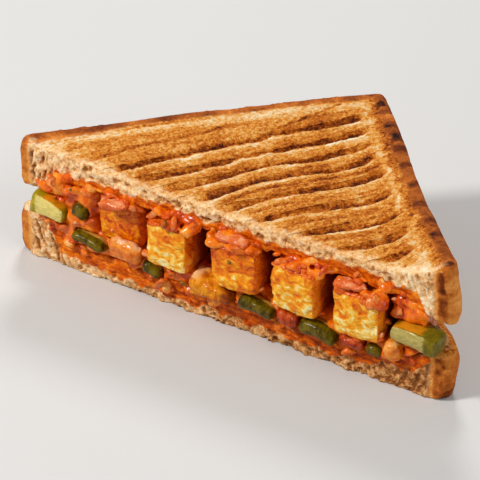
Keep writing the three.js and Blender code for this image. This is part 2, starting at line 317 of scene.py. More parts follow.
def resting(ground, at, size):
    """The same for a bit that has to show, also when the place is under the surface."""
    near, outward, _, _ = ground.find_nearest(list(at))
    near, outward = np.array(near), np.array(outward)
    if (np.asarray(at) - near) @ outward < 0:
        return near + 0.15 * min(size) * outward
    return touching(ground, at, size)


# ---------------------------------------------------------------- shader nodes


def linear(red, green, blue):
    """A colour as seen on screen, 0 to 255, as the numbers that a shader takes."""
    def one(value):
        value /= 255
        return value / 12.92 if value < 0.04045 else ((value + 0.055) / 1.055) ** 2.4
    return (one(red), one(green), one(blue), 1.0)


class Shader:
    """A material with short names for the few nodes that it is made of."""

    def __init__(self, name):
        self.material = bpy.data.materials.new(name)
        self.material.use_nodes = True
        self.tree = self.material.node_tree
        self.surface = self.tree.nodes["Principled BSDF"]
        place = self.tree.nodes.new("ShaderNodeTexCoord").outputs["Object"]
        scale = self.tree.nodes.new("ShaderNodeVectorMath")
        scale.operation = "SCALE"
        scale.inputs["Scale"].default_value = 1 / METRES
        self.tree.links.new(place, scale.inputs[0])
        self.place = scale.outputs[0]

    def put(self, socket, value):
        if isinstance(value, bpy.types.NodeSocket):
            self.tree.links.new(value, socket)
        else:
            socket.default_value = value

    def attribute(self, name):
        node = self.tree.nodes.new("ShaderNodeAttribute")
        node.attribute_name = name
        return node.outputs["Fac"]

    def stretched(self, stretch, turn=0.0):
        """Coordinates in which noise is longer along its X, Y or Z, turned about Z."""
        if stretch is None:
            return self.place
        node = self.tree.nodes.new("ShaderNodeMapping")
        node.vector_type = "TEXTURE"
        self.put(node.inputs["Vector"], self.place)
        node.inputs["Rotation"].default_value = (0.0, 0.0, turn)
        node.inputs["Scale"].default_value = stretch
        return node.outputs[0]

    def noise(self, size, detail=3.0, roughness=0.55, stretch=None, swirl=0.0, turn=0.0):
        """Cloudy noise between 0 and 1, with features of a size in millimetres."""
        node = self.tree.nodes.new("ShaderNodeTexNoise")
        node.inputs["Scale"].default_value = 1 / size
        node.inputs["Detail"].default_value = detail
        node.inputs["Roughness"].default_value = roughness
        node.inputs["Distortion"].default_value = swirl
        self.put(node.inputs["Vector"], self.stretched(stretch, turn))
        return node.outputs["Fac"]

    def math(self, operation, first, second=0.0):
        node = self.tree.nodes.new("ShaderNodeMath")
        node.operation = operation
        self.put(node.inputs[0], first)
        self.put(node.inputs[1], second)
        return node.outputs[0]

    def times(self, first, second):
        return self.math("MULTIPLY", first, second)

    def plus(self, first, *others):
        for other in others:
            first = self.math("ADD", first, other)
        return first

    def around(self, noise, reach):
        """Noise between 0 and 1 as a value between minus and plus the reach."""
        return self.times(self.plus(noise, -0.5), 2 * reach)

    def ramp(self, value, low, high, start=0.0, end=1.0):
        node = self.tree.nodes.new("ShaderNodeMapRange")
        node.interpolation_type = "SMOOTHSTEP"
        self.put(node.inputs["Value"], value)
        node.inputs["From Min"].default_value = low
        node.inputs["From Max"].default_value = high
        node.inputs["To Min"].default_value = start
        node.inputs["To Max"].default_value = end
        return node.outputs["Result"]

    def mix(self, share, first, second):
        node = self.tree.nodes.new("ShaderNodeMix")
        node.data_type = "RGBA"
        self.put(node.inputs["Factor"], share)
        self.put(node.inputs["A"], first)
        self.put(node.inputs["B"], second)
        return node.outputs["Result"]

    def colours(self, value, *stops):
        """A colour for each value: stops are (value, red, green, blue)."""
        node = self.tree.nodes.new("ShaderNodeValToRGB")
        elements = node.color_ramp.elements
        elements[0].position, elements[0].color = stops[0][0], linear(*stops[0][1:])
        elements[1].position, elements[1].color = stops[-1][0], linear(*stops[-1][1:])
        for position, *colour in stops[1:-1]:
            elements.new(position).color = linear(*colour)
        self.put(node.inputs["Fac"], value)
        return node.outputs["Color"]

    def finish(self, colour, roughness, height=None, depth=0.1, **sockets):
        self.put(self.surface.inputs["Base Color"], colour)
        self.put(self.surface.inputs["Roughness"], roughness)
        if height is not None:
            bump = self.tree.nodes.new("ShaderNodeBump")
            bump.inputs["Distance"].default_value = depth * METRES
            self.put(bump.inputs["Height"], height)
            self.put(self.surface.inputs["Normal"], bump.outputs["Normal"])
        for name, value in sockets.items():
            self.surface.inputs[name.replace("_", " ")].default_value = value
        return self.material


# ---------------------------------------------------------------- materials


def bread_material(name):
    """Toasted face, crust, crumb and sauce stains, told apart by the marks on the mesh."""
    s = Shader(name)
    patch = s.noise(3.4, 3.0, 0.6, (2.4, 1.0, 1.0), turn=RIDGE_ANGLE)
    strand = s.noise(0.9, 3.0, 0.6, (3.6, 1.0, 1.0), turn=RIDGE_ANGLE)
    grain = s.noise(1.1, 2.0, 0.5)
    fleck = s.noise(0.5, 2.0, 0.5)

    # The toasted face's tone: its browning, with painted shadow in the grooves, painted shade on the
    # flanks and a painted highlight on the crests.
    brown_and_painted_light = s.plus(s.attribute("brown_and_painted_light"), s.around(patch, 0.26), s.around(strand, 0.22))
    brown_and_painted_light = s.plus(brown_and_painted_light, s.around(grain, 0.32), s.around(fleck, 0.30))
    toast = s.colours(
        brown_and_painted_light,
        (0.0, 242, 222, 190), (0.2, 226, 194, 144), (0.42, 216, 147, 58),
        (0.62, 184, 97, 20), (0.82, 116, 48, 8), (1.0, 60, 22, 5),
    )

    skin = s.plus(0.5, s.around(s.noise(7.0, 3.0, 0.5, (1, 1, 0.5)), 0.3), s.around(fleck, 0.1))
    skin = s.plus(skin, s.around(grain, 0.12), s.times(s.attribute("char"), 0.5))
    crust = s.colours(
        skin,
        (0.2, 238, 174, 98), (0.42, 220, 138, 60), (0.58, 184, 98, 32),
        (0.78, 118, 52, 14), (1.0, 44, 18, 10),
    )

    blob = s.noise(1.25, 2.0, 0.5, swirl=0.6)
    hollow = s.plus(0.36, s.times(s.plus(blob, -0.5), 1.2), s.around(fleck, 0.24))
    # The opened bubbles are painted darker, painted shade in the pits over their real depth in the
    # mesh.
    hollow = s.plus(hollow, s.times(s.attribute("pore"), 0.62), s.around(patch, 0.1))
    # The crumb's browning near the crust and its painted shade towards the right end; the soaked crumb
    # below reads it weakly too.
    hollow = s.plus(hollow, s.times(s.attribute("browned_and_shaded"), 0.25))
    crumb = s.colours(
        hollow,
        (0.0, 255, 240, 212), (0.25, 250, 220, 174), (0.5, 236, 182, 120),
        (0.75, 196, 131, 72), (1.0, 132, 75, 34),
    )
    streak = s.noise(2.4, 4.0, 0.6, (2.4, 1.2, 0.6))
    soaked = s.plus(streak, s.times(s.attribute("pore"), -0.12), s.around(grain, 0.12))
    soaked = s.plus(soaked, s.times(s.attribute("browned_and_shaded"), -0.06))
    soaked = s.colours(
        soaked,
        (0.25, 140, 44, 2), (0.42, 204, 82, 2), (0.55, 238, 120, 10),
        (0.66, 250, 158, 44), (0.80, 252, 206, 130),
    )

    stain = s.plus(s.attribute("sauce"), s.around(patch, 0.3), s.around(grain, 0.5))
    stain = s.times(s.ramp(stain, 0.32, 0.68), s.ramp(s.attribute("sauce"), 0.02, 0.12))
    colour = s.mix(s.attribute("side"), toast, crust)
    colour = s.mix(s.attribute("crumb"), colour, crumb)
    colour = s.mix(stain, colour, soaked)
    gloss = s.plus(0.86, s.times(stain, -0.56))
    height = s.plus(grain, s.times(strand, 0.5), s.times(blob, -0.5), s.times(fleck, 0.3))
    return s.finish(colour, gloss, height, depth=0.4, Specular_IOR_Level=0.1)


def sauce_material():
    """Thick oily gravy. Each lump in it has a hue of its own, from tomato to onion. It is painted
    darker further back from the cut and in its creases, as painted shade.
    """
    s = Shader("masala")
    cloud = s.noise(3.0, 4.0, 0.62)
    fleck = s.noise(0.8, 3.0, 0.6)
    tone = s.plus(0.52, s.around(cloud, 0.34), s.around(fleck, 0.14), s.times(s.attribute("hue"), 0.2))
    # Painted shade: darker further back from the cut and in creases.
    tone = s.plus(tone, s.times(s.attribute("deep"), -0.34), s.times(s.attribute("hollow"), -0.3))
    colour = s.colours(
        tone, (0.0, 60, 4, 1), (0.2, 130, 22, 1), (0.38, 200, 66, 2),
        (0.54, 234, 104, 4), (0.70, 248, 140, 24), (0.84, 250, 176, 84), (0.96, 252, 206, 150),
    )
    roughness = s.ramp(fleck, 0.3, 0.7, 0.16, 0.34)
    height = s.plus(s.times(fleck, 0.5), cloud)
    return s.finish(
        colour, roughness, height, depth=0.35,
        Specular_IOR_Level=0.1, Coat_Weight=0.5, Coat_Roughness=0.18,
    )


def paneer_material(name, cream, burnt):
    """Soft white cheese stained by the sauce. cream and burnt shift the share of each tone."""
    s = Shader(name)
    cloud = s.noise(5.5, 2.0, 0.5)
    curd = s.noise(2.3, 3.0, 0.6, (1.3, 1.0, 0.9), 0.7)
    grain = s.noise(0.8, 3.0, 0.6)
    tone = s.plus(s.times(s.plus(curd, -0.5), 1.5), 0.5, s.around(cloud, 0.16), s.around(grain, 0.1))
    tone = s.plus(tone, cream - burnt - 0.05, s.times(s.attribute("low"), 0.15))
    tone = s.plus(tone, s.times(s.attribute("edge"), -0.16))
    colour = s.colours(
        tone, (0.12, 176, 58, 1), (0.30, 226, 102, 1), (0.48, 243, 140, 3),
        (0.60, 250, 170, 22), (0.70, 252, 200, 76), (0.84, 253, 232, 160),
    )
    film = s.plus(s.attribute("film"), s.around(curd, 0.5), s.around(grain, 0.15))
    glaze = s.colours(
        s.plus(grain, s.around(cloud, 0.3)),
        (0.3, 168, 44, 2), (0.5, 222, 88, 6), (0.7, 244, 136, 36),
    )
    colour = s.mix(s.ramp(film, 0.35, 0.6), colour, glaze)
    # Painted shade: the right side goes dark towards the back, between the cubes.
    colour = s.mix(s.ramp(s.attribute("deep"), 0.0, 1.0), colour, linear(104, 16, 2))
    roughness = s.ramp(curd, 0.35, 0.65, 0.36, 0.56)
    height = s.plus(s.times(grain, 0.5), curd)
    return s.finish(
        colour, roughness, height, depth=0.5,
        Specular_IOR_Level=0.12, Coat_Weight=0.2, Coat_Roughness=0.14,
    )


def pepper_material(name, skin, flesh, dark, sauce, border):
    """Cooked bell pepper: glossy skin on the outside, pale moist flesh at the cut."""
    s = Shader(name)
    cloud = s.noise(3.0, 3.0, 0.55)
    fibre = s.noise(1.1, 3.0, 0.6, (1.6, 1.0, 0.6))
    outside = s.plus(cloud, s.around(s.noise(0.9, 3.0, 0.6, (0.7, 1.4, 2.2)), 0.3))
    outside = s.mix(s.ramp(outside, 0.3, 0.7), linear(*dark), linear(*skin))
    inside = s.mix(s.ramp(fibre, 0.3, 0.7, 0.0, 0.45), linear(*flesh), linear(*skin))
    share = s.ramp(s.plus(s.attribute("skin"), s.around(fibre, 0.12)), 0.1, 0.8)
    colour = s.mix(share, inside, outside)
    film = s.plus(s.attribute("film"), s.around(fibre, 0.25), s.around(cloud, 0.3))
    colour = s.mix(s.ramp(film, *border), colour, linear(*sauce))
    roughness = s.ramp(fibre, 0.3, 0.7, 0.26, 0.42)
    return s.finish(
        colour, roughness, fibre, depth=0.4,
        Specular_IOR_Level=0.08, Coat_Weight=0.2, Coat_Roughness=0.06,
    )


def moist_material(name, *stops, glazed=0.85):
    """Onion, tomato or another soft bit, glazed by the sauce in places."""
    s = Shader(name)
    cloud = s.noise(2.4, 3.0, 0.6)
    layer = s.noise(0.8, 2.0, 0.5, (0.5, 1.0, 1.8))
    tone = s.plus(cloud, s.around(layer, 0.12), s.times(s.attribute("pale"), 0.3))
    colour = s.colours(tone, *stops)
    glaze = s.ramp(s.plus(s.noise(2.2, 2.0, 0.5), s.around(layer, 0.1)), 0.38, 0.58, 0.0, glazed)
    colour = s.mix(glaze, colour, linear(224, 92, 6))
    roughness = s.ramp(layer, 0.3, 0.7, 0.16, 0.34)
    return s.finish(
        colour, roughness, s.plus(layer, cloud), depth=0.3,
        Specular_IOR_Level=0.12, Coat_Weight=0.45, Coat_Roughness=0.14,
    )


# ---------------------------------------------------------------- bread


def plan_distances(points):
    """How far in from the short side's crust and from the long side's crust."""
    offset = points[:, :2] - APEX
    return offset @ ALONG_LONG, offset @ ALONG_SHORT


def crust_widening(along):
    """How much wider the long side's crust gets towards the left end."""
    return 0.1 * np.maximum(along - 85, 0)


def strayed_row(points, along, across):
    """The row of a point, as if the uneven grooves were straight."""
    flat = points * np.array([1, 1, 0])
    row = across - GROOVE_SKEW * along
    droop = 0.06 * np.maximum(along - 60, 0) + 1.9 * smooth(along, 42, 6)
    droop += 4.8 * smooth(along, 44, 70) * smooth(row, 10, 38)
    return row - droop + 0.8 * waves(flat, 17.0, 71) + 0.45 * waves(flat, 5.0, 72)


def pressed(row, along, grooves):
    """Depth of the pressed grooves."""
    nearest = np.min(np.abs(row[:, None] - grooves[None]), axis=1)
    return GROOVE_DEPTH * (1 - smooth(nearest, 0, GROOVE_HALF_WIDTH)) * smooth(along, *GROOVE_STOP)


def between_grooves(row):
    """Distance past the groove behind, and before the groove ahead, on the way to the cut."""
    edges = np.concatenate([[SEEN_GROOVES[0] - 9.0], SEEN_GROOVES, [SEEN_GROOVES[-1] + 11.0]])
    index = np.clip(np.searchsorted(edges, row) - 1, 0, len(edges) - 2)
    return np.maximum(row - edges[index], 0), np.maximum(edges[index + 1] - row, 0)


def scratch(points, ends, width):
    """1 along a straight mark in the plan, fading to 0 at its sides."""
    start, end = np.array(ends)
    reach = np.linalg.norm(end - start)
    forward = (end - start) / reach
    offset = points[:, :2] - start + 0.4 * waves(points, 3.0, 91)[:, None]
    distance = np.abs(offset @ np.array([-forward[1], forward[0]]))
    inside = smooth(offset @ forward, 0, 2) * smooth(offset @ forward, reach, reach - 2)
    return smooth(distance, width, 0.2 * width) * inside


def toast_pattern(points):
    """Height to add to the toasted face, its browning with painted shadow, shade and highlight on the
    ridges, and the charring of its rim.
    """
    along, across = plan_distances(points)
    row = strayed_row(points, along, across)
    in_rows = np.stack([along, row, points[:, 2]], axis=1)
    to_cut = points[:, 1] - CUT_Y
    near_cut = smooth(to_cut + 1.5 * waves(points, 3.0, 79), 6.5, 1.0)
    stop = smooth(along + 2.0 * waves(points, 5.0, 77), 8.0, 12.0) * (1 - 0.8 * near_cut)
    behind, ahead = between_grooves(row)
    inner = smooth(row, 3.0, 9.0)

    broken = 0.62 + 0.38 * waves(in_rows * (0.12, 0.3, 0), 1.0, 78)
    # The dark line in each groove is partly char and partly painted shadow of the groove's wall.
    line = np.maximum(smooth(ahead, 2.0, 0.2), smooth(behind, 0.8, 0.1)) * inner * broken
    between = 0.46 * (behind + ahead) + 0.7 * waves(in_rows * (0.1, 0, 0), 1.0, 88)
    wide = smooth(behind + ahead, 6.5, 10.0)
    second = (1 - smooth(np.abs(behind - between), 0.2, 1.3)) * inner * wide
    second *= smooth(waves(in_rows * (0.06, 0.3, 0), 1.0, 89), -0.7, 0.3)
    crust_line = FAINT_LINE + crust_widening(along)
    faint = 0.8 * smooth(np.abs(across - crust_line), 1.0, 0.2) * smooth(along, 48, 72)
    weak = 0.6 * smooth(np.abs(row - FAINT_GROOVE), 1.3, 0.2) * smooth(along, 36, 48)
    faint = np.maximum(faint, weak * smooth(across, 6, 8)) * broken
    line = np.maximum(line * stop, faint)
    line = np.maximum(line, 0.6 * scratch(points, DARK_SCRATCH, 0.9))
    # The flank facing the cut is darker, partly browning and partly painted shade; the crest past each
    # groove is paler, partly paler toast and partly a painted highlight.
    flank = smooth(ahead, 4.5, 0.8) * inner * stop
    crest = smooth(behind, 0.3, 1.2) * smooth(behind, 4.0, 1.5) * inner * stop
    torn = waves(in_rows * (0.5, 0.35, 0), 1.0, 83)

    deep = pressed(row, along, SEEN_GROOVES) * (1 - 0.75 * near_cut)
    height = pressed(across - GROOVE_SKEW * along, along, GROOVES) - 0.62 * deep
    height += -0.3 * line - 0.28 * second * stop + 0.2 * torn * (flank + 0.3)

    long_band = smooth(across, 11.0, 7.0) * smooth(across, 2.0, 3.6)
    short_band = smooth(along + 1.2 * waves(points, 4.0, 85), 13.0, 8.0)
    pale = smooth(0.5 * waves(points, 5.0, 86) + 0.5 * waves(points, 2.0, 87), 0.0, 0.35)
    scraped = smooth(waves(in_rows * (0.22, 0.9, 0), 1.0, 90), 0.25, 0.7) * crest
    towards_right = smooth(points[:, 0], 30, 72) * smooth(points[:, 1], 26, 4)
    towards_left = smooth(points[:, 0], -20, -62)
    brown_and_painted_light = 0.51 + 0.10 * flank - 0.14 * crest + 0.36 * line + 0.20 * second * stop
    brown_and_painted_light += 0.10 * torn * flank - 0.24 * scraped - 0.2 * scratch(points, PALE_SCRATCH, 1.2)
    brown_and_painted_light += 0.12 * rough(points, 14.0, 81)
    brown_and_painted_light -= 0.23 * long_band + (0.05 + 0.18 * pale) * short_band
    brown_and_painted_light -= 0.08 * towards_right + 0.06 * towards_left + 0.2 * near_cut * (0.3 + 0.7 * pale)

    brown_and_painted_light += 0.24 * smooth(along, 9.0, 5.6) + 0.18 * smooth(across, 6.6, 4.2)
    spots = smooth(waves(np.stack([across, along, points[:, 2]], axis=1), 2.7, 53), 0.25, 0.7)
    ends = smooth(np.min(np.abs(row[:, None] - SEEN_GROOVES[None]), axis=1), 2.4, 0.6)
    low_end = 0.1 * smooth(across, 40, 90)
    charred = (0.28 + low_end + 0.3 * ends + 0.55 * spots) * smooth(along, 7.0, 4.0)
    charred = np.maximum(charred, (0.3 + 0.2 * waves(points, 6.0, 54)) * smooth(across, 6.0, 4.0))
    return height, brown_and_painted_light, charred


def sauce_share(points, upper):
    """Share of sauce on the cut face: past a line that dips or climbs in the middle."""
    uneven = 1.2 * waves(points * (1, 0, 0), 5.0, 21) + 0.8 * waves(points * (1, 0, 0), 2.0, 22)
    if upper:
        line_x = (-78, -67, -62, -55, -45, 57, 62, 66, 70, 78)
        line_z = (22, 26, 36.0, 35.2, 35.0, 36.4, 36.4, 34.5, 30.0, 21)
        return smooth(np.interp(points[:, 0], line_x, line_z) - points[:, 2] + uneven, -1.6, 1.6)
    line_x = (-78, -67, -65, -62, -57, 35, 49, 62, 70, 74, 78)
    line_z = (21, 16, 12, 3.6, 3.0, 3.2, 4.6, 6.4, 9.6, 15, 21)
    return smooth(points[:, 2] - np.interp(points[:, 0], line_x, line_z) + uneven, -1.8, 1.8)


def open_crumb(points, inside):
    """Depth of the bubbles that the knife opened, for the points inside the bread."""
    depth = np.zeros(len(points))
    warped = points[inside]
    warped = warped + 0.6 * np.stack([waves(warped, 2.2, 90 + n) for n in range(3)], axis=1)
    small = bubbles(warped, 1.9, 11, 0.7)
    large = bubbles(warped, (3.2, 3.2, 2.4), 23, 0.3)
    even = np.maximum(0.7 * small, 0.9 * large)
    ends = smooth(np.abs(warped[:, 0]), 54, 62)
    side = np.sign(warped[:, 0])
    from_rim = side * warped[:, 0] + 0.012 * (warped[:, 2] - 20) ** 2
    curved = np.stack([from_rim / 1.9, warped[:, 1] / 3.0, warped[:, 2] / 8.5 + 5 * side], axis=1)
    arcs = bubbles(curved, 1.0, 37, 0.85) * np.where(side < 0, 1.2, 0.65)
    depth[inside] = even + (np.maximum(arcs, 0.3 * small) - even) * ends
    return depth


def settled(points, upper):
    """Ends and crust moved by about a millimetre, to where the photograph has them."""
    along, across = plan_distances(points)
    at_left = smooth(along, 96, 110) * smooth(across, 9, 2)
    points = points.copy()
    if upper:
        inward = 1.3 * smooth(across, 28, 62) * smooth(along, 16, 2)
        inward *= 1 - 1.2 * smooth(across, 84, 98) * smooth(points[:, 2], 42, 33)
        points[:, :2] += inward[:, None] * ALONG_LONG + 0.8 * at_left[:, None] * ALONG_SHORT
        points[:, 2] -= 1.2 * smooth(along, 66, 96) * smooth(across, 24, 4)
        return points
    at_right = smooth(across, 84, 98) * smooth(along, 9, 2) * smooth(points[:, 2], 4, 12)
    points[:, :2] -= 1.2 * at_left[:, None] * ALONG_SHORT + 0.9 * at_right[:, None] * ALONG_LONG
    points[:, 0] -= 1.3 * smooth(points[:, 0], -66, -76)
    points[:, 2] += 1.2 * at_right + 0.8 * at_left * smooth(points[:, 2], 4, 12)
    return points


def bread_slice(node, name, material, upper):
    """One slice: pressed and pitted toast, crust sides and a torn, open crumb where it was cut."""
    mesh = refined(node, FINE)
    points = points_of(mesh)
    normals = normals_of(mesh)
    along, across = plan_distances(points)
    from_side = np.minimum(
        np.minimum(along, across), np.minimum(LONG_SIDE - along, SHORT_SIDE - across),
    )

    cut = smooth(-normals[:, 1], 0.72, 0.9) * smooth(CUT_Y + 1.5 - points[:, 1], 0, 0.6)
    outward = normals[:, 2] if upper else -normals[:, 2]
    face = smooth(outward, 0.45, 0.8)
    inner = smooth(-outward, 0.45, 0.8)
    side = np.clip(1 - cut - face - inner, 0, 1) * smooth(6.5 - from_side, 0, 2)
    thickness = CRUST_THICKNESS + 0.5 * waves(points, 3.0, 8)
    skin = smooth(from_side, thickness, thickness + 1.0)
    crumb = np.clip(cut + inner, 0, 1) * skin

    height, brown_and_painted_light, charred = toast_pattern(points)
    pore = open_crumb(points, crumb > 0.05) * crumb
    sauce = sauce_share(points, upper) * crumb
    bare = 5.0 * smooth(points[:, 0], 58, 68)
    spread = smooth(from_side - bare, 4.5, 9.0) * crumb
    sauce = np.where(inner > 0.3, np.maximum(sauce * smooth(bare, 5, 2), spread), sauce)
    soaked = smooth(sauce, 0.3, 0.8)

    grains = 0.24 * waves(points, 1.0, 3) + 0.18 * rough(points, 2.6, 4)
    move = face * (height + grains - 0.25 * bubbles(points, 1.8, 41, 0.4))
    ragged = 0.5 * rough(points, 2.0, 5) + 0.6 * smooth(waves(points, 3.0, 6), 0.1, 0.7)
    if not upper:
        ragged += 0.6 * smooth(points[:, 2], 5.0, 1.0) * (0.5 + waves(points, 2.2, 9))
    move += crumb * (0.4 + ragged - 0.95 * pore * (1 - 0.6 * soaked))
    move += side * (0.25 + 0.3 * rough(points, 7.0, 7, 3))
    points = settled(points + normals * move[:, None], upper)
    points[:, 2] = np.maximum(points[:, 2], 0.0)

    uneven_rim = 0.8 * waves(points, 3.5, 56) + 0.4 * waves(points, 1.3, 57)
    short_rim = smooth(along + uneven_rim, 5.8, 4.2)
    long_rim = smooth(across - crust_widening(along) + 0.5 * uneven_rim, 5.4, 4.2)
    rim = np.maximum(short_rim, long_rim) * face
    charred = charred * np.clip(face + smooth(outward, 0.0, 0.5) * side, 0, 1)
    # The toast's tone, with its painted shadow, shade and highlight.
    mark(mesh, "brown_and_painted_light", np.clip(brown_and_painted_light, 0, 1))
    mark(mesh, "side", np.clip(side + rim + cut * smooth(skin, 1.0, 0.5), 0, 1))
    corner = cut * (1 - skin) * smooth(points[:, 0], 40, 60) * smooth(from_side, 2.2, 0.8)
    corner *= (0.42 if upper else 0.5) * (0.8 + 0.9 * waves(points, 2.0, 58))
    corner -= 0.45 * cut * (1 - skin) * smooth(from_side, 1.3, 2.1)
    # The crust sides: on the lower slice darker towards the bottom, on the upper slice paler towards
    # the right end.
    side_tan = 0.3 * side * smooth(points[:, 2], 14, 0)
    if upper:
        side_tan = -0.15 * side * smooth(points[:, 0], 48, 72)
    mark(mesh, "char", np.clip(charred + corner + side_tan, -0.5, 1))
    fresh = face * smooth(points[:, 1] - CUT_Y + 2.4 * rough(points, 3.6, 55), 3.0, 0.4)
    mark(mesh, "crumb", np.maximum(crumb, 0.7 * fresh * skin))
    mark(mesh, "pore", pore)
    # Painted shade on the crumb: the lower slice darker towards its right end, in patches; the upper
    # slice darker over its right half and paler at its right end.
    right_end = smooth(points[:, 0], -70, 40)
    patchy = 1 + 0.7 * waves(points, 1.7, 59)
    shaded = 0.3 + 1.1 * right_end * patchy
    if upper:
        shaded = 0.3 * right_end * smooth(points[:, 0], 64, 50) - 0.4 * smooth(points[:, 0], 54, 64)
    mark(mesh, "browned_and_shaded", 0.5 * smooth(from_side, 4.0, 2.0) + shaded)
    mark(mesh, "sauce", sauce)
    set_points(mesh, points)
    slot = "toast" if upper else "crumb"
    return new_piece(name, mesh, material, slot, node)


# ---------------------------------------------------------------- filling


def along_ceiling(draw):
    """Places in front of the even sauce, under the top slice."""
    x = draw.uniform(-64, 57)
    return (x, draw.uniform(-5.0, -3.4), draw.uniform(31.6, 34.0))


def along_floor(draw):
    x = draw.uniform(-66, 67)
    floor = np.interp(x, (-78, -62, -52, 50, 62, 78), (15.5, 13.5, 9.5, 9.5, 12.5, 15.5))
    return (x, draw.uniform(-5.0, -3.6), floor + draw.uniform(-3.0, 2.2))


def left_heap(draw):
    x = draw.uniform(-63, -46)
    return (x, draw.uniform(-5.2, -2.5), draw.uniform(28 if x < -54 else 18, 31.5))


def right_heap(draw):
    return (draw.uniform(57, 68), draw.uniform(-2.6, 1.0), draw.uniform(17, 32))


def along_crusts(draw):
    """Places on the filling's edge between the crusts, at the back."""
    inset, length = draw.uniform(7.2, 9.2), draw.uniform(9, 92)
    first, second = (inset, length) if draw.random() < 0.5 else (length, inset)
    x, y = APEX + first * ALONG_LONG + second * ALONG_SHORT
    return (x, y, draw.uniform(17, 30))


def on_cubes(draw):
    """Places on top of the cubes, at their front edges."""
    index = draw.integers(1, 6)
    low, high = (np.array(corner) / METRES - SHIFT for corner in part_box(f"paneer_{index}"))
    x = draw.uniform(low[0] + 0.5, high[0] + 0.5)
    return (x, low[1] + draw.uniform(1.0, 4.0), high[2] + draw.uniform(-0.6, 1.2))


# Where the sauce is lumpy: a rule for the place, how many lumps and their mean size.
HEAPS = (
    (along_ceiling, 40, 3.9), (along_floor, 26, 3.3), (left_heap, 22, 4.2),
    (right_heap, 20, 4.6), (on_cubes, 34, 3.9), (along_crusts, 46, 3.8),
)

# The strip of pepper between the left wedge and the first cube, and how far lumps step back from it.
OPEN_STRIP_X = (-57.0, -48.5)
OPEN_STRIP_Z = (19.0, 27.7)
STEP_BACK = 4.0


def behind_strip(at):
    """A lump's place, moved back where it would cover the strip."""
    x, y, z = at
    covers = OPEN_STRIP_X[0] < x < OPEN_STRIP_X[1] and OPEN_STRIP_Z[0] < z < OPEN_STRIP_Z[1]
    return np.array((x, y + STEP_BACK * covers, z))


def masala():
    """Sauce, with the diced onion and tomato in it as lumps that each have a hue."""
    draw = np.random.default_rng(5)
    solids = ["masala", "bread_top", "bread_bottom", *(f"paneer_{n}" for n in range(1, 6))]
    ground = surfaces([node_mesh(node) for node in solids])
    lumps, places, hues = [], [], []
    for place, count, mean in HEAPS:
        for _ in range(count):
            at = place(draw)
            size = mean * draw.uniform(0.6, 1.5) * draw.uniform(0.8, 1.2, 3) * (1.35, 1.1, 0.75)
            at = behind_strip(touching(ground, at, size))
            boxy = draw.uniform(0.5, 1.0)
            turn = draw.uniform(-50, 50, 3)
            lumps.append(lump(at, size, turn, boxy, uneven=0.25, seed=len(lumps)))
            places.append((*at, size.mean() / 2))
            hues.append(draw.choice((-1.2, -0.8, -0.3, 0.0, 0.0, 0.3, 1.0)))
    mesh = remeshed(*joined([node_mesh("masala"), *lumps]), COARSE, SAUCE_SMOOTHING)
    points = points_of(mesh)
    normals = normals_of(mesh)
    # How far each point lies in a crease, for the painted shade in the creases.
    hollow = np.sum((smoothed(mesh, points, 8) - points) * normals, axis=1)
    hue = np.zeros(len(points))
    total = np.full(len(points), 0.02)
    for (x, y, z, radius), value in zip(places, hues):
        near = smooth(np.linalg.norm(points - (x, y, z), axis=1), 1.5 * radius, 0.6 * radius)
        hue += near * value
        total += near
    bumps = 0.15 + 0.5 * rough(points, 2.2, 61, 3) + 0.55 * waves(points, 4.0, 66)
    points = points + normals * bumps[:, None]
    mark(mesh, "hue", hue / np.maximum(total, 1))
    along, across = plan_distances(points)
    indoors = smooth(np.minimum(along, across), 7.5, 10.0)
    # Painted shade further back from the cut, above the sauce's bottom bed, away from the crust edges.
    mark(mesh, "deep", smooth(points[:, 1], -3.0, 3.5) * smooth(points[:, 2], 12, 17) * indoors)
    mark(mesh, "hollow", np.clip(hollow / 0.35, -0.25, 1.4))
    set_points(mesh, points)
    return new_piece("masala_sauce", mesh, sauce_material(), "sauce", "masala")


# Share of cream curd and of burnt sauce on each cube, from the left.
CUBE_TONES = ((-0.10, 0.06), (0.10, 0.0), (-0.06, 0.05), (0.04, 0.0), (0.07, 0.0))


def paneer_cube(index, cream, burnt):
    node = f"paneer_{index}"
    mesh = refined(node, FINE)
    points = points_of(mesh)
    normals = normals_of(mesh)
    low, high = points.min(0), points.max(0)
    pit = bubbles(points, 2.2, 80 + index, 0.3)
    move = 0.1 + 0.5 * waves(points, 6.0, 60 + index) + 0.32 * rough(points, 2.4, 70 + index, 4)
    points = points + normals * (move - 0.45 * pit)[:, None]

    front = smooth(-normals[:, 1], 0.4, 0.8)
    top = smooth(normals[:, 2], 0.3, 0.8)
    right = smooth(normals[:, 0], 0.4, 0.8)
    border = np.minimum(points - low, high - points)[:, [0, 2]].min(1)
    border = border + 0.7 * waves(points, 2.4, 65)
    drip = smooth(points[:, 2] - high[2] + 2.6 + 1.6 * waves(points, 3.4, index), 0.0, 2.2)
    mark(mesh, "film", 0.9 * top + 0.5 * right + 0.7 * drip)
    mark(mesh, "low", smooth(points[:, 2], high[2] - 4, low[2] + 3))
    mark(mesh, "edge", front * smooth(border, 1.6, 0.2))
    # Painted shade on each cube's right side, darker further back from its front.
    mark(mesh, "deep", 0.85 * right * smooth(points[:, 1] - low[1], 0.5, 10.0))
    set_points(mesh, points)
    return new_piece(node + "_piece", mesh, paneer_material(node, cream, burnt), "paneer", node)


def wedge_skin(place, normals, index):
    """Skin all round but on the cut flesh, which fills the left or right part of the front."""
    front = smooth(-normals[:, 1], 0.2, 0.6)
    if index == 1:
        return 1 - front * smooth(place[:, 0], 0.14, 0.34)
    return 1 - front * smooth(place[:, 0], 0.82, 0.66)


